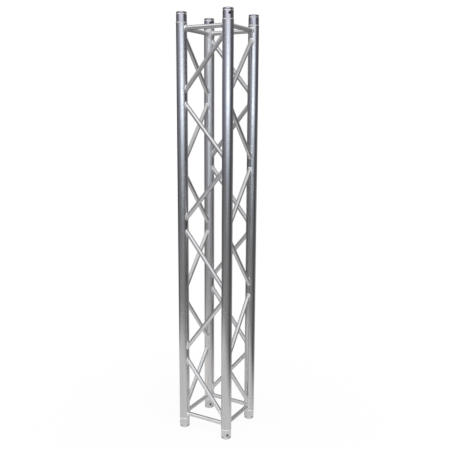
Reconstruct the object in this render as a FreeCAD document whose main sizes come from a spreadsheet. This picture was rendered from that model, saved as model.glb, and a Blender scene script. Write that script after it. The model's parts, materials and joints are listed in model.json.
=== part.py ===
"""Box truss section of welded aluminium tube, 290 mm square and 2 m long, for stage lighting.

Four chord tubes stand at the corners of a square. Every chord ends in a machined receiver,
which has a conical socket for the coupling spigot and a cross hole for its pin. On each of the
four faces an end brace lies level near either end, and six diagonal braces zigzag between them.

The truss stands on end: +Z runs along it, and the origin is on its middle line, in the plane of
the bottom receivers' end faces. The front face looks along -Y and the right face along +X.
Lengths are millimetres and angles are degrees.
"""
import FreeCAD, Part

import math
import os

import Sketcher
from FreeCAD import Placement, Rotation, Vector

ORIGIN = Vector(0, 0, 0)
ALONG_X = Vector(1, 0, 0)
ALONG_Y = Vector(0, 1, 0)
ALONG_Z = Vector(0, 0, 1)

# The driving dimensions. Each is a cell of the sheet, under this alias.
SIZES = {
    "truss_length": 2000.0,
    "chord_pitch": 240.0,
    "chord_radius": 25.0,
    "chord_wall": 2.0,
    "brace_radius": 10.0,
    "brace_wall": 2.0,
    "end_brace_inset": 70.0,
    "node_gap": 16.0,
    "receiver_radius": 24.0,
    "receiver_length": 48.0,
    "receiver_chamfer": 2.0,
    "shank_radius": 22.9,
    "shank_length": 30.0,
    "socket_mouth_radius": 17.5,
    "socket_throat_radius": 14.0,
    "socket_chamfer": 1.0,
    "groove_height": 9.0,
    "groove_width": 6.0,
    "groove_depth": 1.5,
    "pin_hole_radius": 6.0,
    "pin_hole_height": 23.0,
    "ring_weld_overlap": 3.5,
    "ring_weld_crown": 6.0,
    "brace_weld_leg": 3.5,
}

# For each face, the heights where its diagonals' centre lines meet the chords, from the top down.
# The diagonals were set up by hand, so each zigzag is spaced a little differently.
LEVELS = {
    "front": (1917.0, 1626.0, 1333.0, 1037.0, 720.0, 391.0, 86.0),
    "right": (1907.0, 1620.0, 1322.0, 1015.0, 695.0, 377.0, 80.0),
    "back": (1914.0, 1624.0, 1320.0, 1004.0, 701.0, 376.0, 94.0),
    "left": (1924.0, 1623.0, 1305.0, 992.0, 686.0, 374.0, 86.0),
}
LAST_DIAGONAL = len(LEVELS["front"]) - 1

# Each face: its name, and the turn about Z that brings the front face to it.
FACES = (
    ("front", 0),
    ("right", 90),
    ("back", 180),
    ("left", 270),
)

# Each corner: its name, and the direction from the middle line to it.
CORNERS = (
    ("front_right", -45),
    ("back_right", 45),
    ("back_left", 135),
    ("front_left", 225),
)

doc = FreeCAD.newDocument("lighting_truss_section")
sub_parts = []


# --- the sheet and its expressions ---------------------------------------------------------------

def fill_sheet():
    """Put the driving dimensions in the sheet, one to a row."""
    sheet = doc.addObject("Spreadsheet::Sheet", "sizes")
    cells = dict(SIZES)
    for face, levels in LEVELS.items():
        cells.update({f"{face}_level_{index}": level for index, level in enumerate(levels)})
    for row, (alias, value) in enumerate(cells.items(), start=1):
        sheet.set(f"A{row}", alias)
        sheet.set(f"B{row}", str(value))
        sheet.setAlias(f"B{row}", alias)
    doc.recompute()
    return sheet


def cell(alias):
    """The expression that reads one cell."""
    return f"sizes.{alias}"


def value_of(expression):
    """What an expression comes to now."""
    return float(sizes.evalExpression(expression))


# --- sketches and features -----------------------------------------------------------------------

def new_body(label):
    """Start the body of one sub-part."""
    body = doc.addObject("PartDesign::Body", label)
    body.Label = label
    sub_parts.append(body)
    return body


def new_sketch(body, name, role):
    """Start a sketch on one of the body's own origin planes."""
    sketch = body.newObject("Sketcher::SketchObject", name)
    plane = next(item for item in body.Origin.OriginFeatures if item.Role == role)
    sketch.AttachmentSupport = [(plane, "")]
    sketch.MapMode = "FlatFace"
    return sketch


def constrain(sketch, name, kind, references, expression):
    """Add a dimension to a sketch that follows an expression."""
    constraint = Sketcher.Constraint(kind, *references, value_of(expression))
    sketch.renameConstraint(sketch.addConstraint(constraint), name)
    sketch.setExpression(f"Constraints.{name}", expression)


def pin_down(sketch, name, geometry, point, place):
    """Hold a point of the sketch's geometry at a pair of expressions."""
    for axis, expression in zip("xy", place):
        if value_of(expression) == 0:
            line = -2 if axis == "x" else -1
            sketch.addConstraint(Sketcher.Constraint("PointOnObject", geometry, point, line))
        else:
            kind = f"Distance{axis.upper()}"
            constrain(sketch, f"{name}_{axis}", kind, (-1, 1, geometry, point), expression)


def draw_circle(sketch, name, radius, centre=("0", "0")):
    """Draw a circle from expressions for its radius and centre."""
    middle = Vector(value_of(centre[0]), value_of(centre[1]), 0)
    circle = sketch.addGeometry(Part.Circle(middle, ALONG_Z, value_of(radius)))
    constrain(sketch, f"{name}_radius", "Radius", (circle,), radius)
    pin_down(sketch, name, circle, 3, centre)


def draw_outline(sketch, corners, closing_radius=None):
    """Draw a closed outline through pairs of expressions. An arc can take the closing side."""
    points = [Vector(value_of(x), value_of(y), 0) for x, y in corners]
    sides = []
    for start, end in zip(points, points[1:]):
        sides.append(sketch.addGeometry(Part.LineSegment(start, end)))
    first, last = points[0], points[-1]
    if closing_radius is None:
        sides.append(sketch.addGeometry(Part.LineSegment(last, first)))
        closing_start, closing_end = 1, 2
    else:
        radius = value_of(closing_radius)
        span = last - first
        sideways = Vector(-span.y, span.x, 0).normalize()
        centre = (first + last) / 2 + sideways * math.sqrt(radius ** 2 - span.Length ** 2 / 4)
        angles = [math.atan2(point.y - centre.y, point.x - centre.x) for point in (first, last)]
        arc = Part.ArcOfCircle(Part.Circle(centre, ALONG_Z, radius), *angles)
        sides.append(sketch.addGeometry(arc))
        constrain(sketch, "closing_radius", "Radius", (sides[-1],), closing_radius)
        closing_start, closing_end = 2, 1
    for side, following in zip(sides[:-2], sides[1:-1]):
        sketch.addConstraint(Sketcher.Constraint("Coincident", side, 2, following, 1))
    sketch.addConstraint(Sketcher.Constraint("Coincident", sides[-2], 2, sides[-1], closing_start))
    sketch.addConstraint(Sketcher.Constraint("Coincident", sides[-1], closing_end, sides[0], 1))
    for index, (side, corner) in enumerate(zip(sides[:-1], corners)):
        pin_down(sketch, f"corner_{index}", side, 1, corner)
    pin_down(sketch, "corner_last", sides[-2], 2, corners[-1])


def add_pad(body, sketch, length, symmetric=False):
    """Pad a sketch by an expression."""
    pad = body.newObject("PartDesign::Pad", "pad")
    pad.Profile = sketch
    pad.SideType = "Symmetric" if symmetric else "One side"
    pad.setExpression("Length", length)


def add_through_pocket(body, sketch):
    """Cut a sketch right through the body, both ways from its plane."""
    doc.recompute()
    before = body.Shape.Volume
    pocket = body.newObject("PartDesign::Pocket", "pocket")
    pocket.Profile = sketch
    pocket.SideType = "Symmetric"
    pocket.Type = "ThroughAll"
    doc.recompute()
    if not body.Shape.Volume < before:
        raise RuntimeError(f"the pocket of {body.Label} cuts nothing")


def add_turning(body, sketch):
    """Turn a sketch through a whole circle about its upright axis."""
    turning = body.newObject("PartDesign::Revolution", "turning")
    turning.Profile = sketch
    turning.ReferenceAxis = (sketch, ["V_Axis"])
    turning.Angle = 360


def put(item, x, y, z, rotation):
    """Turn an object, and bind its place to three expressions."""
    item.Placement = Placement(ORIGIN, rotation)
    for axis, place in zip("xyz", (x, y, z)):
        item.setExpression(f".Placement.Base.{axis}", place)


# --- chords and their ends -----------------------------------------------------------------------

def corner_place(direction):
    """The expressions for the x and y of the chord in one direction from the middle line."""
    reach = f"{cell('chord_pitch')} / sqrt(2)"
    return f"{reach} * cos({direction})", f"{reach} * sin({direction})"


def make_chord(corner, direction):
    """A round tube between two receivers."""
    body = new_body(f"chord_{corner}")
    ring = new_sketch(body, "ring", "XY_Plane")
    draw_circle(ring, "outside", cell("chord_radius"))
    draw_circle(ring, "inside", f"{cell('chord_radius')} - {cell('chord_wall')}")
    add_pad(body, ring, f"{cell('truss_length')} - 2 * {cell('receiver_length')}")
    put(body, *corner_place(direction), cell("receiver_length"), Rotation())


def put_on_chord_end(body, end, direction):
    """Stand a turned piece on the truss's end face, with its own Y axis pointing outwards."""
    outwards = Rotation(ALONG_Z, direction - 90)
    if end == "top":
        put(body, *corner_place(direction), cell("truss_length"), outwards * Rotation(ALONG_Y, 180))
    else:
        put(body, *corner_place(direction), "0", outwards)


def make_receiver(end, corner, direction):
    """A turned socket: a collar outside the chord and a shank inside it, crossed by a pin hole."""
    body = new_body(f"receiver_{end}_{corner}")
    outside, chamfer = cell("receiver_radius"), cell("receiver_chamfer")
    mouth, lead_in = cell("socket_mouth_radius"), cell("socket_chamfer")
    shoulder, shank = cell("receiver_length"), cell("shank_radius")
    inner_end = f"{shoulder} + {cell('shank_length')}"
    groove_floor = f"{outside} - {cell('groove_depth')}"
    groove_start = f"{cell('groove_height')} - {cell('groove_width')} / 2"
    groove_end = f"{cell('groove_height')} + {cell('groove_width')} / 2"
    profile = new_sketch(body, "profile", "XZ_Plane")
    draw_outline(profile, (
        (mouth, lead_in),
        (f"{mouth} + {lead_in}", "0"),
        (f"{outside} - {chamfer}", "0"),
        (outside, chamfer),
        (outside, groove_start),
        (groove_floor, cell("groove_height")),
        (outside, groove_end),
        (outside, shoulder),
        (shank, shoulder),
        (shank, inner_end),
        (cell("socket_throat_radius"), inner_end),
    ))
    add_turning(body, profile)
    hole = new_sketch(body, "pin_hole", "XZ_Plane")
    draw_circle(hole, "hole", cell("pin_hole_radius"), ("0", cell("pin_hole_height")))
    add_through_pocket(body, hole)
    put_on_chord_end(body, end, direction)


def make_ring_weld(end, corner, direction):
    """The weld bead round the step between a receiver's collar and the end of its chord."""
    body = new_body(f"ring_weld_{end}_{corner}")
    shoulder, overlap = cell("receiver_length"), cell("ring_weld_overlap")
    profile = new_sketch(body, "profile", "XZ_Plane")
    draw_outline(profile, (
        (cell("receiver_radius"), f"{shoulder} - {overlap}"),
        (cell("receiver_radius"), shoulder),
        (cell("chord_radius"), shoulder),
        (cell("chord_radius"), f"{shoulder} + {overlap}"),
    ), closing_radius=cell("ring_weld_crown"))
    add_turning(body, profile)
    put_on_chord_end(body, end, direction)


# --- braces and their welds ----------------------------------------------------------------------

def diagonal_heights(face, number):
    """The expressions for the heights of a diagonal's upper and lower end."""
    upper = cell(f"{face}_level_{number - 1}")
    lower = cell(f"{face}_level_{number}")
    if number > 1:
        upper = f"({upper} - {cell('node_gap')} / 2)"
    if number < LAST_DIAGONAL:
        lower = f"({lower} + {cell('node_gap')} / 2)"
    return upper, lower


def face_braces(face):
    """The braces of a face: label, and heights at its left end and its right end."""
    top = f"({cell('truss_length')} - {cell('end_brace_inset')})"
    bottom = cell("end_brace_inset")
    braces = [(f"end_brace_{face}_top", top, top)]
    for number in range(1, LAST_DIAGONAL + 1):
        upper, lower = diagonal_heights(face, number)
        left, right = (lower, upper) if number % 2 else (upper, lower)
        braces.append((f"brace_{face}_{number}", left, right))
    braces.append((f"end_brace_{face}_bottom", bottom, bottom))
    return braces


def slope(left, right):
    """The expression for how steeply a brace climbs from its left end to its right end."""
    return f"atan(({right} - {left}) / {cell('chord_pitch')})"


def make_brace(label, turn, left, right):
    """A tube between two chords, coped at both ends to sit on them."""
    body = new_body(label)
    pitch = cell("chord_pitch")
    ring = new_sketch(body, "ring", "YZ_Plane")
    draw_circle(ring, "outside", cell("brace_radius"))
    draw_circle(ring, "inside", f"{cell('brace_radius')} - {cell('brace_wall')}")
    if left != right:
        ring.AttachmentOffset = Placement(ORIGIN, Rotation(ALONG_X, -1))
        ring.setExpression(".AttachmentOffset.Rotation.Angle", f"-{slope(left, right)}")
    add_pad(body, ring, f"sqrt({pitch}^2 + ({right} - {left})^2)", symmetric=True)
    cope = new_sketch(body, "cope", "XY_Plane")
    for name, side in (("left", "-1"), ("right", "1")):
        draw_circle(cope, name, cell("chord_radius"), (f"{side} * {pitch} / 2", "0"))
    add_through_pocket(body, cope)
    outwards = turn - 90
    reach = f"{pitch} / 2"
    put(body, f"{reach} * cos({outwards})", f"{reach} * sin({outwards})",
        f"({left} + {right}) / 2", Rotation(ALONG_Z, turn))


def new_cylinder(name, radius, height):
    """A cylinder along its own Z from expressions for its radius and height."""
    cylinder = doc.addObject("Part::Cylinder", name)
    cylinder.setExpression("Radius", radius)
    cylinder.setExpression("Height", height)
    return cylinder


def new_cut(name, base, tool):
    """The first object without the second."""
    cut = doc.addObject("Part::Cut", name)
    cut.Base = base
    cut.Tool = tool
    return cut


def new_shell(name, radius, height, place):
    """The layer as thick as a weld's leg on the outside of a tube."""
    thick = new_cylinder(f"{name}_outside", f"{radius} + {cell('brace_weld_leg')}", height)
    thin = new_cylinder(f"{name}_inside", radius, height)
    for cylinder in (thick, thin):
        place(cylinder)
    return new_cut(name, thick, thin)


def new_compound(name, links):
    """Several objects as one."""
    compound = doc.addObject("Part::Compound", name)
    compound.Links = links
    return compound


def make_brace_welds(face, turn):
    """The beads at both ends of every brace of a face, where the tubes' outer layers cross."""
    pitch = cell("chord_pitch")
    chord_layers = []
    for name, side in (("left", -1), ("right", 1)):
        chord_layers.append(new_shell(
            f"{face}_{name}_chord_layer", cell("chord_radius"), cell("truss_length"),
            lambda cylinder: put(cylinder, f"{side} * {pitch} / 2", "0", "0", Rotation())))

    brace_layers = []
    for label, left, right in face_braces(face):
        def lay_along_brace(cylinder):
            put(cylinder, f"-{pitch} / 2", "0", left, Rotation(ALONG_Y, 90))
            cylinder.setExpression(".Placement.Rotation.Angle", f"90 deg - {slope(left, right)}")

        brace_layers.append(new_shell(
            f"{label}_layer", cell("brace_radius"), f"sqrt({pitch}^2 + ({right} - {left})^2)",
            lay_along_brace))

    beads = doc.addObject("Part::MultiCommon", f"{face}_beads")
    beads.Shapes = [
        new_compound(f"{face}_chord_layers", chord_layers),
        new_compound(f"{face}_brace_layers", brace_layers),
    ]
    group = new_compound(f"brace_welds_{face}", [beads])
    group.Label = f"brace_welds_{face}"
    outwards = turn - 90
    reach = f"{pitch} / 2"
    put(group, f"{reach} * cos({outwards})", f"{reach} * sin({outwards})", "0",
        Rotation(ALONG_Z, turn))
    sub_parts.append(group)


# --- the whole truss -----------------------------------------------------------------------------

def check_document():
    """Stop if any object failed, or if a sub-part isn't whole."""
    for item in doc.Objects:
        if {"Invalid", "Error"} & set(item.State):
            raise RuntimeError(f"{item.Label} failed: {item.State}")
    for item in sub_parts:
        if item.Shape.isNull() or not item.Shape.isValid() or not item.Shape.Solids:
            raise RuntimeError(f"{item.Label} has no sound shape")


sizes = fill_sheet()
for corner, direction in CORNERS:
    make_chord(corner, direction)
    for end in ("top", "bottom"):
        make_receiver(end, corner, direction)
        make_ring_weld(end, corner, direction)
for face, turn in FACES:
    for label, left, right in face_braces(face):
        make_brace(label, turn, left, right)
    make_brace_welds(face, turn)
doc.recompute()
check_document()

os.makedirs("parts", exist_ok=True)
for item in sub_parts:
    item.Shape.exportStep(f"parts/{item.Label}.step")
    print(item.Label, len(item.Shape.Solids), round(item.Shape.Volume))
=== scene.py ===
"""Looks of the lighting truss section: metal finishes, rippled welds, studio and camera.

Everything is in metres, in the row frame: the truss stands on end along +Z, its front face
looks along -Y and its right face along +X. Azimuths are degrees round +Z from the front, with
the right face at 90, and elevations are degrees above the level.
"""
import functools
import json
import math
import random
from dataclasses import dataclass

import bmesh
import bpy
import numpy as np
from mathutils import Matrix, Vector


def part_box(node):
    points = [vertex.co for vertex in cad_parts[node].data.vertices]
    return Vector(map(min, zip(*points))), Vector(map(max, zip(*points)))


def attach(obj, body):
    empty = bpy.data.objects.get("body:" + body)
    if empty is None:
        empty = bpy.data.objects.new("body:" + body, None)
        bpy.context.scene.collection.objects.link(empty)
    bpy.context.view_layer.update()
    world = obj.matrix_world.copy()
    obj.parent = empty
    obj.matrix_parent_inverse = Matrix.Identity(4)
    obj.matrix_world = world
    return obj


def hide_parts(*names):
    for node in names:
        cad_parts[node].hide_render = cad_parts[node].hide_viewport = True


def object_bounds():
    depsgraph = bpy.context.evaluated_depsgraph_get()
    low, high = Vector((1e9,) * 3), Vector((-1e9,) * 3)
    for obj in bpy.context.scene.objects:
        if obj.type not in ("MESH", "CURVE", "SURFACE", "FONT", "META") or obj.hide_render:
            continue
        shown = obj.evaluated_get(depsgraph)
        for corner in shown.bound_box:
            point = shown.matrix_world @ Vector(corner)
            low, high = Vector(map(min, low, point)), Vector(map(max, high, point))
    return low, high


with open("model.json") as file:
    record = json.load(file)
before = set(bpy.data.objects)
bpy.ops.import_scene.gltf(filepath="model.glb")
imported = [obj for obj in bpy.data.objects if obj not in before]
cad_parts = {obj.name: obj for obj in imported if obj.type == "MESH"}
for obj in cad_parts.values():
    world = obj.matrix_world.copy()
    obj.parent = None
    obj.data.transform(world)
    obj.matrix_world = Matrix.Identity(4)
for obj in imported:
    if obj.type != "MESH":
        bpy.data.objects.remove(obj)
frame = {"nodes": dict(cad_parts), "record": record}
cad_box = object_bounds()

MM = 0.001
UP = Vector((0, 0, 1))
FACES = ("front", "right", "back", "left")
CORNERS = ("front_right", "back_right", "back_left", "front_left")
ENDS = ("top", "bottom")

# The tubes' finishes: a tint and a roughness. One chord has a lighter, duller finish than the others.
BRACE_FINISH = ((0.75, 0.75, 0.76), 0.34)
CHORD_FINISH = ((0.625, 0.63, 0.64), 0.18)
DULL_CHORD_FINISH = ((0.78, 0.775, 0.77), 0.31)
DULL_CHORD = "back_left"


# --- where the tubes are -------------------------------------------------------------------------

@functools.cache
def chord_axis(corner):
    """The x and y of a chord's middle line, and its radius."""
    low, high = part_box(f"chord_{corner}")
    return (low + high).xy / 2, (high.x - low.x) / 2


@functools.cache
def tube_line(node):
    """A straight tube's middle, the direction it runs in, and its radius.

    The large faces are the tube's wall, and their normals are all square to that direction.
    """
    mesh = frame["nodes"][node].data
    largest = max(polygon.area for polygon in mesh.polygons)
    wall = [polygon for polygon in mesh.polygons if polygon.area > largest / 4]
    spread = sum(polygon.area * np.outer(polygon.normal, polygon.normal) for polygon in wall)
    direction = Vector(np.linalg.eigh(spread)[1][:, 0])
    low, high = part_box(node)
    radius = min(high.x - low.x, high.y - low.y) / 2
    return (low + high) / 2, direction.normalized(), radius


def brace_nodes(face):
    """The names of the braces on a face."""
    names = [name for name in frame["nodes"] if name.startswith(f"brace_{face}_")]
    return sorted(names) + [f"end_brace_{face}_{end}" for end in ENDS]


def brace_ends(node):
    """Each end of a brace: the brace's middle, the way out to the end, the radius, and the corner."""
    middle, direction, radius = tube_line(node)
    half_pitch = chord_axis("back_right")[0].x
    found = []
    for way in (direction, -direction):
        reach = middle + way * (half_pitch / max(abs(way.x), abs(way.y)))
        corner = min(CORNERS, key=lambda name: (chord_axis(name)[0] - reach.xy).length)
        found.append((middle, way, radius, corner))
    return found


def weld_spot(middle, way, corner):
    """Where a brace's middle line meets the skin of its chord."""
    axis, chord_radius = chord_axis(corner)
    flat = way.xy.length
    return middle + way * (((axis - middle.xy).dot(way.xy) / flat - chord_radius) / flat)


def pin_hole():
    """The height of a pin's cross hole above the end of its receiver, and the hole's radius."""
    for mount in frame["record"]["mounts"]:
        if mount["name"] == "pin_hole_bottom_front_right_outer":
            return mount["pos_m"][2], mount["dims"]["r_mm"] * MM


# --- material nodes ------------------------------------------------------------------------------

class Nodes:
    """A node tree, and short ways to add nodes to it."""

    def __init__(self, tree):
        self.tree = tree

    def node(self, kind, settings=None, **inputs):
        """Add a node. Inputs are values or other nodes' outputs, by socket name or, as n0, number."""
        node = self.tree.nodes.new(kind)
        for key, value in (settings or {}).items():
            setattr(node, key, value)
        for key, value in inputs.items():
            numbered = key[0] == "n" and key[1:].isdigit()
            socket = node.inputs[int(key[1:]) if numbered else key.replace("_", " ")]
            if isinstance(value, bpy.types.NodeSocket):
                self.tree.links.new(value, socket)
            else:
                socket.default_value = value
        return node

    def math(self, operation, first, second=0.0):
        """One sum on two numbers."""
        return self.node("ShaderNodeMath", {"operation": operation}, n0=first, n1=second).outputs[0]

    def vector(self, operation, first, second=(0, 0, 0), result="Vector"):
        """One sum on two vectors."""
        node = self.node("ShaderNodeVectorMath", {"operation": operation}, n0=first, n1=second)
        return node.outputs[result]

    def dot(self, vector, way):
        """How far a vector reaches along a direction."""
        return self.vector("DOT_PRODUCT", vector, way, "Value")

    def distance(self, where, spot):
        """How far a place is from a spot."""
        return self.vector("DISTANCE", where, spot, "Value")

    def add_share(self, value, amount, share):
        """Add a share of an amount to a value."""
        return self.math("ADD", value, self.math("MULTIPLY", amount, share))

    def spread(self, value, low, high, to_low=0.0, to_high=1.0):
        """Stretch a range of values over another, and clamp what is outside."""
        inputs = {"Value": value, "From_Min": low, "From_Max": high, "To_Min": to_low, "To_Max": to_high}
        return self.node("ShaderNodeMapRange", {"clamp": True}, **inputs).outputs[0]

    def blend(self, share, first, second):
        """Mix two colours."""
        colours = {"n6": first, "n7": second}
        for socket, colour in colours.items():
            if not isinstance(colour, bpy.types.NodeSocket):
                colours[socket] = (*colour, 1.0)
        return self.node("ShaderNodeMix", {"data_type": "RGBA"}, n0=share, **colours).outputs[2]

    def mix_shaders(self, share, first, second):
        """Mix two shaders."""
        return self.node("ShaderNodeMixShader", n0=share, n1=first, n2=second).outputs[0]


class Paint(Nodes):
    """One procedural material."""

    def __init__(self, name, roughness, metallic=1.0):
        self.material = bpy.data.materials.new(name)
        self.material.use_nodes = True
        super().__init__(self.material.node_tree)
        self.shader = self.tree.nodes["Principled BSDF"]
        self.shader.inputs["Metallic"].default_value = metallic
        self.shader.inputs["Roughness"].default_value = roughness
        self.where = self.node("ShaderNodeTexCoord").outputs["Object"]

    def place(self, middle, direction):
        """Coordinates with their origin at a tube's middle and their Z along the tube, in metres."""
        moved = self.vector("SUBTRACT", self.where, tuple(middle))
        turn = direction.rotation_difference(UP).to_euler("XYZ")
        return self.node("ShaderNodeMapping", Vector=moved, Rotation=turn).outputs[0]

    def noise(self, where, per_metre, detail=2.0, roughness=0.5):
        """Noise with its own fineness along each axis."""
        scaled = self.vector("MULTIPLY", where, per_metre)
        inputs = {"Vector": scaled, "Scale": 1.0, "Detail": detail, "Roughness": roughness}
        return self.node("ShaderNodeTexNoise", **inputs).outputs[0]

    def near(self, where, spots, core, edge):
        """A mask that is 1 within core of any of the spots and fades to 0 at edge."""
        closest = None
        for spot in spots:
            gap = self.distance(where, tuple(spot))
            closest = gap if closest is None else self.math("MINIMUM", closest, gap)
        return self.spread(closest, core, edge, 1.0, 0.0)

    def finish(self, colour, roughness, height, depth):
        """Connect the colour, the roughness and a height in units of depth."""
        links = self.tree.links
        links.new(colour, self.shader.inputs["Base Color"])
        links.new(roughness, self.shader.inputs["Roughness"])
        bump = self.node("ShaderNodeBump", Height=height, Distance=depth, Strength=1.0)
        links.new(bump.outputs[0], self.shader.inputs["Normal"])
        return self.material


# --- finishes ------------------------------------------------------------------------------------

# Where each mask changes over, as two distances.
HALO_EDGE = (13 * MM, 24 * MM)        # from a weld: its frosted zone, and the clean tube
# The socket, mouth and pin hole edges below bound painted shade: dark colour laid inside the socket,
# away from its mouth, and on the pin hole's wall.
SOCKET_EDGE = (21.5 * MM, 22.3 * MM)  # from a receiver's axis: its socket, and its outside
MOUTH_EDGE = (2 * MM, 4 * MM)         # from a receiver's end: its bright mouth, and its dark socket
PIN_HOLE_EDGE = (0.1 * MM, 0.4 * MM)  # beyond a pin hole's wall: the dark hole, and the collar


def die_lines(paint, along):
    """Lines that the die leaves along a tube: fine ones over broad ones."""
    fine = paint.noise(along, (2400, 2400, 3), 3)
    broad = paint.noise(along, (260, 260, 0.8), 2)
    return paint.add_share(paint.math("MULTIPLY", fine, 0.55), broad, 0.45)


def rub_marks(paint, along):
    """Short scratches across a tube, in a few worn places."""
    scratches = paint.spread(paint.noise(along, (60, 60, 900), 2), 0.60, 0.68)
    places = paint.spread(paint.noise(paint.where, (5, 5, 9), 3), 0.56, 0.66)
    return paint.math("MULTIPLY", scratches, places)


def weld_halo(paint, spots):
    """The ragged frosted zone round every weld on a tube."""
    halo = paint.near(paint.where, spots, *HALO_EDGE)
    ragged = paint.noise(paint.where, (160, 160, 160), 4, 0.65)
    return paint.math("MULTIPLY", halo, paint.spread(ragged, 0.36, 0.56, 0.35, 1.0))


def tube_metal(name, middle, direction, weld_spots, tint, roughness):
    """Extruded aluminium: die lines along the tube, rubbed patches, scratches, dull weld halos."""
    paint = Paint(name, roughness)
    along = paint.place(middle, direction)
    lines = die_lines(paint, along)
    rubs = rub_marks(paint, along)
    halo = weld_halo(paint, weld_spots)
    smudges = paint.spread(paint.noise(paint.where, (13, 13, 6), 5, 0.6), 0.42, 0.62)
    grain = paint.noise(paint.where, (5200, 5200, 5200), 2)

    light, dark, smudged, frosted = (Vector(tint) * share for share in (1.0, 0.84, 0.8, 0.97))
    colour = paint.blend(paint.spread(lines, 0.38, 0.62), dark, light)
    colour = paint.blend(paint.math("MULTIPLY", smudges, 0.2), colour, smudged)
    colour = paint.blend(paint.math("MULTIPLY", halo, 0.8), colour, frosted)
    rough = paint.spread(lines, 0.3, 0.7, roughness - 0.05, roughness + 0.06)
    for mark, share in ((smudges, 0.04), (rubs, 0.14), (halo, 0.14)):
        rough = paint.add_share(rough, mark, share)
    height = paint.math("MULTIPLY", lines, 0.7)
    for mark, share in ((rubs, -0.25), (grain, 0.12)):
        height = paint.add_share(height, mark, share)
    return paint.finish(colour, rough, height, depth=0.035 * MM)


def receiver_masks(paint, local, radius, height_up):
    """Two masks where shade is painted: the wall of a receiver's socket, and the wall of its pin hole.
    """
    from_end = paint.math("MINIMUM", height_up, paint.math("SUBTRACT", cad_box[1].z, height_up))
    socket = paint.spread(radius, *SOCKET_EDGE, 1.0, 0.0)
    socket = paint.math("MULTIPLY", socket, paint.spread(from_end, *MOUTH_EDGE))
    hole_height, hole_radius = pin_hole()
    sideways = paint.dot(local, Vector((1, -1, 0)).normalized())
    off_axis = paint.node("ShaderNodeCombineXYZ", X=sideways, Y=from_end, Z=0.0).outputs[0]
    beyond_wall = paint.math("SUBTRACT", paint.distance(off_axis, (0, hole_height, 0)), hole_radius)
    hole = paint.spread(beyond_wall, *PIN_HOLE_EDGE, 1.0, 0.0)
    return socket, hole


def receiver_metal():
    """Turned aluminium: fine rings, smudges and nicks, with painted shade darkening its socket and its
    pin hole.

    The truss is the same in all four quarters, so the coordinates are folded into one of them.
    """
    paint = Paint("turned_aluminium", 0.2)
    folded = paint.vector("ABSOLUTE", paint.where)
    local = paint.vector("SUBTRACT", folded, (*chord_axis("back_right")[0], 0))
    radius = paint.vector("LENGTH", paint.vector("MULTIPLY", local, (1, 1, 0)), result="Value")
    height_up = paint.node("ShaderNodeSeparateXYZ", Vector=paint.where).outputs["Z"]
    track = paint.math("ADD", radius, height_up)
    track = paint.node("ShaderNodeCombineXYZ", X=track, Y=0.0, Z=0.0).outputs[0]
    rings = paint.noise(track, (4200, 1, 1), 2)
    bands = paint.noise(track, (420, 1, 1), 3)
    smudges = paint.spread(paint.noise(paint.where, (55, 55, 40), 4, 0.6), 0.42, 0.66)
    nicks = paint.spread(paint.noise(paint.where, (260, 260, 420), 3, 0.6), 0.66, 0.74)
    socket, hole = receiver_masks(paint, local, radius, height_up)

    dark, light, smudged = (0.52, 0.52, 0.53), (0.72, 0.715, 0.73), (0.56, 0.56, 0.58)
    # painted shade: the socket and the pin hole's wall are coloured dark to stand in for the shade
    # inside them
    shade_in_socket, painted_hole_shade = (0.16, 0.16, 0.17), (0.05, 0.05, 0.05)
    colour = paint.blend(paint.spread(bands, 0.4, 0.6), dark, light)
    colour = paint.blend(paint.math("MULTIPLY", smudges, 0.4), colour, smudged)
    colour = paint.blend(hole, paint.blend(socket, colour, shade_in_socket), painted_hole_shade)
    rough = paint.spread(bands, 0.35, 0.65, 0.05, 0.10)
    for mark, share in ((smudges, 0.05), (paint.math("MAXIMUM", socket, hole), 0.3)):
        rough = paint.add_share(rough, mark, share)
    return paint.finish(colour, rough, paint.add_share(rings, nicks, -0.8), depth=0.03 * MM)


def weld_metal():
    """Bright weld metal with a grainy skin and duller patches of oxide."""
    paint = Paint("weld_bead_aluminium", 0.3)
    skin = paint.noise(paint.where, (1500, 1500, 1500), 4, 0.6)
    oxide = paint.spread(paint.noise(paint.where, (120, 120, 120), 4, 0.65), 0.46, 0.60)
    dark, light, oxidised = (0.82, 0.82, 0.82), (0.95, 0.95, 0.94), (0.50, 0.50, 0.50)
    colour = paint.blend(paint.spread(skin, 0.35, 0.65), dark, light)
    colour = paint.blend(paint.math("MULTIPLY", oxide, 0.6), colour, oxidised)
    rough = paint.add_share(paint.spread(skin, 0.3, 0.7, 0.26, 0.38), oxide, 0.2)
    return paint.finish(colour, rough, skin, depth=0.08 * MM)


def set_material(node, material):
    """Give a CAD node its finish."""
    for slot in frame["nodes"][node].material_slots:
        slot.material = material


def paint_tubes():
    """Give every brace and chord a material that follows its own line and its own welds."""
    chord_spots = {corner: [] for corner in CORNERS}
    for face in FACES:
        for node in brace_nodes(face):
            spots = []
            for middle, way, _, corner in brace_ends(node):
                spots.append(weld_spot(middle, way, corner))
                chord_spots[corner].append(spots[-1])
            middle, direction, _ = tube_line(node)
            set_material(node, tube_metal(f"drawn_{node}", middle, direction, spots, *BRACE_FINISH))
    for corner in CORNERS:
        low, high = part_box(f"chord_{corner}")
        finish = DULL_CHORD_FINISH if corner == DULL_CHORD else CHORD_FINISH
        material = tube_metal(f"extruded_{corner}", (low + high) / 2, UP, chord_spots[corner], *finish)
        set_material(f"chord_{corner}", material)


def paint_receivers():
    """Give all eight receivers their turned finish."""
    turned = receiver_metal()
    for corner in CORNERS:
        for end in ENDS:
            set_material(f"receiver_{end}_{corner}", turned)


# --- weld beads ----------------------------------------------------------------------------------

RIPPLE = 2.6 * MM
STEPS_PER_RIPPLE = 5
SECTION_STEPS = 6
SEAM_STEPS = 90      # how many points measure the seam round a brace's end
LAG = 0.45           # how far a ripple's crest trails at the bead's edges, in ripples
DICE_SEED = 7

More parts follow.
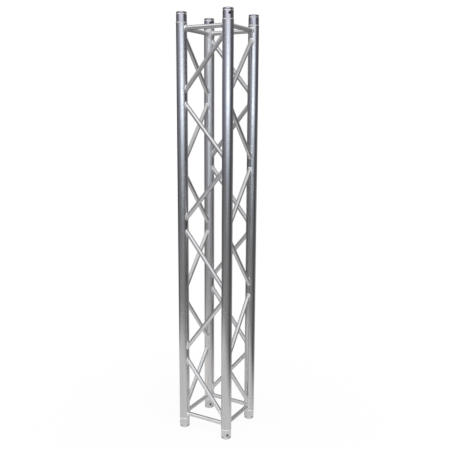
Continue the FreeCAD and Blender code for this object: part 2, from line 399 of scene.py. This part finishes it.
# Fillet beads: the leg and how much it varies, how much of the leg a ripple stands up and the
# face is hollowed, and how deep the root and the toes are buried.
FILLET_LEG = 4.3 * MM
FILLET_SWELL = 0.35 * MM
FILLET_RIPPLE = 0.10
FILLET_HOLLOW = 0.06
FILLET_ROOT_DEPTH = 0.4 * MM
FILLET_TOE_DEPTH = 0.45 * MM

# Ring beads: the width and how much it varies, as shares of the plain bead's, the height of a
# ripple, how deep the toes and the foot are buried, and the foot's share of the width.
RING_WIDTH = 0.93
RING_SWELL = 0.05
RING_RIPPLE_HEIGHT = 0.28 * MM
RING_TOE_DEPTH = 0.25 * MM
RING_FOOT_DEPTH = 0.6 * MM
RING_FOOT_WIDTH = 0.9


def add_bead(mesh, sections):
    """Skin a bead: a closed loop of closed sections."""
    rings = [[mesh.verts.new(point) for point in section] for section in sections]
    for ring, following in zip(rings, rings[1:] + rings[:1]):
        for index in range(len(ring)):
            after = (index + 1) % len(ring)
            mesh.faces.new((ring[index], ring[after], following[after], following[index]))


def add_weld(name, beads, material, node):
    """Make one smooth piece of some beads, given by their sections, and let it stand for a node."""
    mesh = bmesh.new()
    for sections in beads:
        add_bead(mesh, sections)
    bmesh.ops.recalc_face_normals(mesh, faces=mesh.faces)
    data = bpy.data.meshes.new(name)
    mesh.to_mesh(data)
    mesh.free()
    data.shade_smooth()
    data.materials.append(material)
    piece = bpy.data.objects.new(name, data)
    bpy.context.scene.collection.objects.link(piece)
    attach(piece, "root")
    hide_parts(node)


def ripple_height(ripples, lag, start):
    """How far the skin stands up, some ripples along: a round crest with a sharp valley after it."""
    phase = (ripples - lag + start) % 1.0
    return math.sqrt(max(0.0, 1 - (2 * phase - 1) ** 2))


def junction(middle, way, radius, corner, turn):
    """A point where a brace's skin meets its chord's, with both tubes' outward normals."""
    axis, chord_radius = chord_axis(corner)
    side = way.cross(UP).normalized()
    over = side.cross(way)
    brace_normal = side * math.cos(turn) + over * math.sin(turn)
    start = middle + brace_normal * radius
    gap = start.xy - axis
    slope = way.xy
    a, b, c = slope.dot(slope), 2 * gap.dot(slope), gap.dot(gap) - chord_radius ** 2
    point = start + way * ((-b - math.sqrt(b * b - 4 * a * c)) / (2 * a))
    chord_normal = ((point.xy - axis) / chord_radius).to_3d()
    return point, brace_normal, chord_normal


def fillet_section(point, brace_normal, chord_normal, leg, ripples, start):
    """A fillet bead's section at a point of its seam: the buried root, then the face, toe to toe."""
    tilt = brace_normal.dot(chord_normal)
    on_chord = (brace_normal - tilt * chord_normal).normalized()
    on_brace = (chord_normal - tilt * brace_normal).normalized()
    section = [point - (on_chord + on_brace) * FILLET_ROOT_DEPTH]
    for part in range(SECTION_STEPS + 1):
        angle = math.pi / 2 * part / SECTION_STEPS
        across = math.sin(2 * angle)
        lift = ripple_height(ripples, LAG * across, start)
        size = leg * (1 + across * (FILLET_RIPPLE * lift - FILLET_HOLLOW))
        outwards = on_chord * math.cos(angle) + on_brace * math.sin(angle)
        toes = chord_normal * math.cos(angle) ** 6 + brace_normal * math.sin(angle) ** 6
        section.append(point + outwards * size - toes * FILLET_TOE_DEPTH)
    return section


def fillet_sections(middle, way, radius, corner, dice):
    """The sections of a rippled fillet bead round one end of a brace."""
    turns = [2 * math.pi * step / SEAM_STEPS for step in range(SEAM_STEPS + 1)]
    points = [junction(middle, way, radius, corner, turn)[0] for turn in turns]
    lengths = np.concatenate(([0], np.cumsum([(b - a).length for a, b in zip(points, points[1:])])))
    steps = round(lengths[-1] / RIPPLE) * STEPS_PER_RIPPLE
    wander = [dice.uniform(0, 2 * math.pi) for _ in range(3)]
    sections = []
    for step in range(steps):
        turn = float(np.interp(lengths[-1] * step / steps, lengths, turns))
        swell = sum(math.sin((k + 2) * turn + phase) for k, phase in enumerate(wander)) / 3
        leg = FILLET_LEG + FILLET_SWELL * swell
        seam = junction(middle, way, radius, corner, turn)
        sections.append(fillet_section(*seam, leg, step / STEPS_PER_RIPPLE, wander[0]))
    return sections


def ring_outline(collar_radius, chord_radius, crown_radius, half_width, ripples, start):
    """A ring bead's section, as radii and distances along the chord, from the collar's side on."""
    outline = []
    for part in range(SECTION_STEPS + 1):
        share = 2 * part / SECTION_STEPS - 1
        toe = (collar_radius if share < 0 else chord_radius) - RING_TOE_DEPTH
        arch = 1 - share * share
        lift = ripple_height(ripples, LAG * arch, start)
        crest = crown_radius - RING_RIPPLE_HEIGHT * (1 - lift)
        outline.append((toe + (crest - toe) * arch ** 0.6, share * half_width))
    foot, foot_reach = collar_radius - RING_FOOT_DEPTH, RING_FOOT_WIDTH * half_width
    return outline + [(foot, foot_reach), (foot, -foot_reach)]


def ring_sections(end, corner, start):
    """The sections of the rippled bead between a receiver's collar and its chord."""
    low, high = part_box(f"ring_weld_{end}_{corner}")
    collar_low, collar_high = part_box(f"receiver_{end}_{corner}")
    axis, chord_radius = chord_axis(corner)
    radii = (collar_high.x - collar_low.x) / 2, chord_radius, (high.x - low.x) / 2
    middle = axis.to_3d() + UP * ((low.z + high.z) / 2)
    towards_chord = -UP if end == "top" else UP
    steps = round(2 * math.pi * chord_radius / RIPPLE) * STEPS_PER_RIPPLE
    sections = []
    for step in range(steps):
        turn = 2 * math.pi * step / steps
        outwards = Vector((math.cos(turn), math.sin(turn), 0))
        swell = RING_SWELL * math.sin(5 * turn + 6 * start)
        half_width = (high.z - low.z) / 2 * (RING_WIDTH + swell)
        outline = ring_outline(*radii, half_width, step / STEPS_PER_RIPPLE, start)
        sections.append([middle + outwards * out + towards_chord * along for out, along in outline])
    return sections


def make_welds():
    """Every weld bead of the truss, with ripples that differ from bead to bead."""
    dice = random.Random(DICE_SEED)
    material = weld_metal()
    for face in FACES:
        beads = [fillet_sections(*end, dice) for node in brace_nodes(face) for end in brace_ends(node)]
        add_weld(f"rippled_welds_{face}", beads, material, f"brace_welds_{face}")
    for corner in CORNERS:
        for end in ENDS:
            bead = ring_sections(end, corner, dice.uniform(0, 1))
            add_weld(f"rippled_ring_{end}_{corner}", [bead], material, f"ring_weld_{end}_{corner}")


# --- studio --------------------------------------------------------------------------------------

WARM = (1.0, 0.985, 0.98)
NEUTRAL = (1.0, 1.0, 1.0)
TEAL = (0.78, 1.0, 1.05)
BLUE = (0.86, 0.98, 1.10)
LAVENDER = (0.97, 0.94, 1.16)

# The floor's shadow that the camera sees, and the patch of floor that the metal reflects, half lit and
# half a painted glow.
SHADOW_SHOWN = 0.06              # how much of the real shade is seen under the truss
SHADOW_EDGE = (0.3, 1.2)         # how far from the middle line it fades
PATCH_MIDDLE = (-0.3, -0.5, 0)
PATCH_EDGE = (0.8, 1.5)          # how far from its middle the patch fades


@dataclass
class Band:
    """A part of the studio's light: how bright it is by elevation, and how strong by azimuth."""
    levels: tuple        # rows of an elevation, a brightness and a tint, from low to high
    azimuth: float       # the direction that it is strongest towards
    facing: tuple        # the cosines of the angle from there between which the strength changes
    strength: tuple      # the strength at each of those two cosines
    power: float = 1.0   # how steeply it changes between them


ROOM = Band((
    (-90, 0.40, WARM), (-24, 0.40, WARM), (-17, 0.34, WARM), (-12, 0.26, NEUTRAL),
    (-7, 0.19, NEUTRAL), (-3, 0.27, LAVENDER), (4, 0.36, LAVENDER), (7, 0.36, LAVENDER),
    (8.6, 0.20, LAVENDER), (14, 0.18, NEUTRAL), (22, 0.0, NEUTRAL),
), azimuth=0, facing=(-0.1, 0.85), strength=(0.3, 1.0))
WINDOW = Band((
    (-9, 0.0, NEUTRAL), (-7, 0.03, NEUTRAL), (-5, 0.06, TEAL), (-3.4, 0.08, TEAL),
    (-1.2, 0.13, TEAL), (0.6, 0.72, BLUE), (2.2, 1.0, NEUTRAL), (3.5, 0.72, BLUE),
    (5.4, 0.15, BLUE), (7, 0.06, BLUE), (12, 0.06, BLUE), (25, 0.0, NEUTRAL),
), azimuth=34, facing=(0.25, 1.0), strength=(0.0, 3.9), power=3.5)
CEILING = Band((
    (8, 0.0, NEUTRAL), (14, 0.22, NEUTRAL), (22, 0.65, NEUTRAL), (42, 1.0, NEUTRAL),
    (56, 0.95, NEUTRAL), (68, 0.45, NEUTRAL), (90, 0.35, NEUTRAL),
), azimuth=10, facing=(-0.2, 0.35), strength=(0.42, 1.6))
BACK_WALL = Band((
    (-60, 0.0, WARM), (-30, 0.25, WARM), (-7, 0.25, WARM), (4, 0.0, WARM),
    (18, 0.25, WARM), (40, 0.25, WARM), (60, 0.0, WARM),
), azimuth=165, facing=(0.65, 0.9), strength=(0.0, 1.0))
TRANSOM = Band((
    (7.4, 0.0, LAVENDER), (8.4, 0.85, LAVENDER), (11, 0.85, NEUTRAL), (14, 0.3, NEUTRAL),
    (20, 0.0, NEUTRAL),
), azimuth=24, facing=(0.5, 0.8), strength=(0.0, 1.0))


def by_elevation(nodes, rise, levels):
    """A colour for each elevation, from the sine of the elevation."""
    ramp = nodes.node("ShaderNodeValToRGB", n0=nodes.spread(rise, -1, 1))
    elements = ramp.color_ramp.elements
    for _ in levels[2:]:
        elements.new(0.5)
    for element, (elevation, grey, tint) in zip(elements, levels):
        element.position = (math.sin(math.radians(elevation)) + 1) / 2
        element.color = (*(grey * share for share in tint), 1)
    return ramp.outputs[0]


def level(azimuth):
    """The level direction at an azimuth."""
    turn = math.radians(azimuth)
    return Vector((math.sin(turn), -math.cos(turn), 0))


def by_azimuth(nodes, where, band):
    """A band's strength, from the direction that is looked in."""
    low, high = band.strength
    side = nodes.spread(nodes.dot(where, level(band.azimuth)), *band.facing)
    if band.power != 1:
        side = nodes.math("POWER", side, band.power)
    return nodes.spread(side, 0.0, 1.0, low, high)


def make_world():
    """White to the camera; for light and reflections, a dim room under a bright ceiling."""
    world = bpy.data.worlds.new("studio")
    bpy.context.scene.world = world
    world.use_nodes = True
    studio = Nodes(world.node_tree)
    where = studio.node("ShaderNodeTexCoord").outputs["Generated"]
    rise = studio.node("ShaderNodeSeparateXYZ", Vector=where).outputs["Z"]
    lit = None
    for band in (ROOM, WINDOW, CEILING, BACK_WALL, TRANSOM):
        colour = by_elevation(studio, rise, band.levels)
        strength = by_azimuth(studio, where, band)
        part = studio.node("ShaderNodeBackground", Color=colour, Strength=strength).outputs[0]
        lit = studio.node("ShaderNodeAddShader", n0=lit, n1=part).outputs[0] if lit else part
    white = studio.node("ShaderNodeBackground", Color=(1, 1, 1, 1)).outputs[0]
    by_camera = studio.node("ShaderNodeLightPath").outputs["Is Camera Ray"]
    shown = studio.mix_shaders(by_camera, lit, white)
    studio.tree.links.new(shown, studio.tree.nodes["World Output"].inputs["Surface"])


def floor_paper():
    """A pale floor: white to the camera with a faint shadow, and to the reflections a patch that is half
    lit and half a painted glow.

    Looking down an open socket, the camera sees the shaded floor instead of the white one.
    """
    paint = Paint("floor_paper", 0.9, 0.0)
    paint.shader.inputs["Base Color"].default_value = (0.9, 0.88, 0.865, 1)
    lit = paint.shader.outputs[0]
    white = paint.node("ShaderNodeEmission").outputs[0]
    clear = paint.node("ShaderNodeBsdfTransparent").outputs[0]
    # painted light: this glow fills the reflected patch of floor so that its contact shadows fade
    glow = paint.node("ShaderNodeEmission", Color=(1, 0.98, 0.965, 1), Strength=0.88).outputs[0]
    from_middle = paint.distance(paint.where, (0, 0, 0))
    under_truss = paint.spread(from_middle, *SHADOW_EDGE, SHADOW_SHOWN, 0.0)
    folded = paint.vector("ABSOLUTE", paint.where)
    to_chord = paint.distance(folded, chord_axis("back_right")[0].to_3d())
    shade_in_socket = paint.math("LESS_THAN", to_chord, SOCKET_EDGE[0])
    seen = paint.mix_shaders(paint.math("MAXIMUM", under_truss, shade_in_socket), white, lit)
    patch = paint.spread(paint.distance(paint.where, PATCH_MIDDLE), *PATCH_EDGE, 1.0, 0.0)
    reflected = paint.mix_shaders(patch, clear, paint.mix_shaders(0.5, lit, glow))
    by_camera = paint.node("ShaderNodeLightPath").outputs["Is Camera Ray"]
    shown = paint.mix_shaders(by_camera, reflected, seen)
    paint.tree.links.new(shown, paint.tree.nodes["Material Output"].inputs["Surface"])
    return paint.material


def make_floor(radius):
    """A round floor under the truss."""
    mesh = bmesh.new()
    bmesh.ops.create_circle(mesh, cap_ends=True, segments=96, radius=radius)
    data = bpy.data.meshes.new("studio_floor")
    mesh.to_mesh(data)
    mesh.free()
    data.materials.append(floor_paper())
    floor = bpy.data.objects.new("studio_floor", data)
    bpy.context.scene.collection.objects.link(floor)


def add_softbox(name, azimuth, distance, height, size, watts):
    """A softbox aimed at the middle of the truss. It lights the floor and doesn't show in the metal."""
    light = bpy.data.lights.new(name, "AREA")
    light.shape = "RECTANGLE"
    light.size, light.size_y = size
    light.energy = watts
    lamp = bpy.data.objects.new(name, light)
    lamp.location = level(azimuth) * distance + UP * height
    aim = UP * (cad_box[1].z / 2) - lamp.location
    lamp.rotation_euler = aim.to_track_quat("-Z", "Y").to_euler()
    lamp.visible_glossy = False
    bpy.context.scene.collection.objects.link(lamp)


def make_camera(place, pan, tilt, roll, lens, shift):
    """A camera at a place, turned from looking along +Y by its pan, tilt and roll in degrees."""
    camera = bpy.data.cameras.new("camera")
    camera.lens = lens
    camera.sensor_width = 36
    camera.shift_x, camera.shift_y = shift
    camera.clip_end = 100
    viewer = bpy.data.objects.new("camera", camera)
    pan = Matrix.Rotation(math.radians(pan), 4, "Z")
    tilt = Matrix.Rotation(math.radians(90 + tilt), 4, "X")
    roll = Matrix.Rotation(math.radians(roll), 4, "Z")
    viewer.matrix_world = Matrix.Translation(place) @ pan @ tilt @ roll
    bpy.context.scene.collection.objects.link(viewer)
    bpy.context.scene.camera = viewer


paint_tubes()
paint_receivers()
make_welds()
make_floor(radius=4.0)
make_world()
add_softbox("key", azimuth=58, distance=1.9, height=3.2, size=(1.6, 1.2), watts=38)
make_camera(place=(1.5009, -2.5643, 1.5623), pan=29.79, tilt=-10.92, roll=0.22, lens=49.97,
            shift=(0.0031, 0.016))
bpy.context.scene.view_settings.view_transform = "Standard"
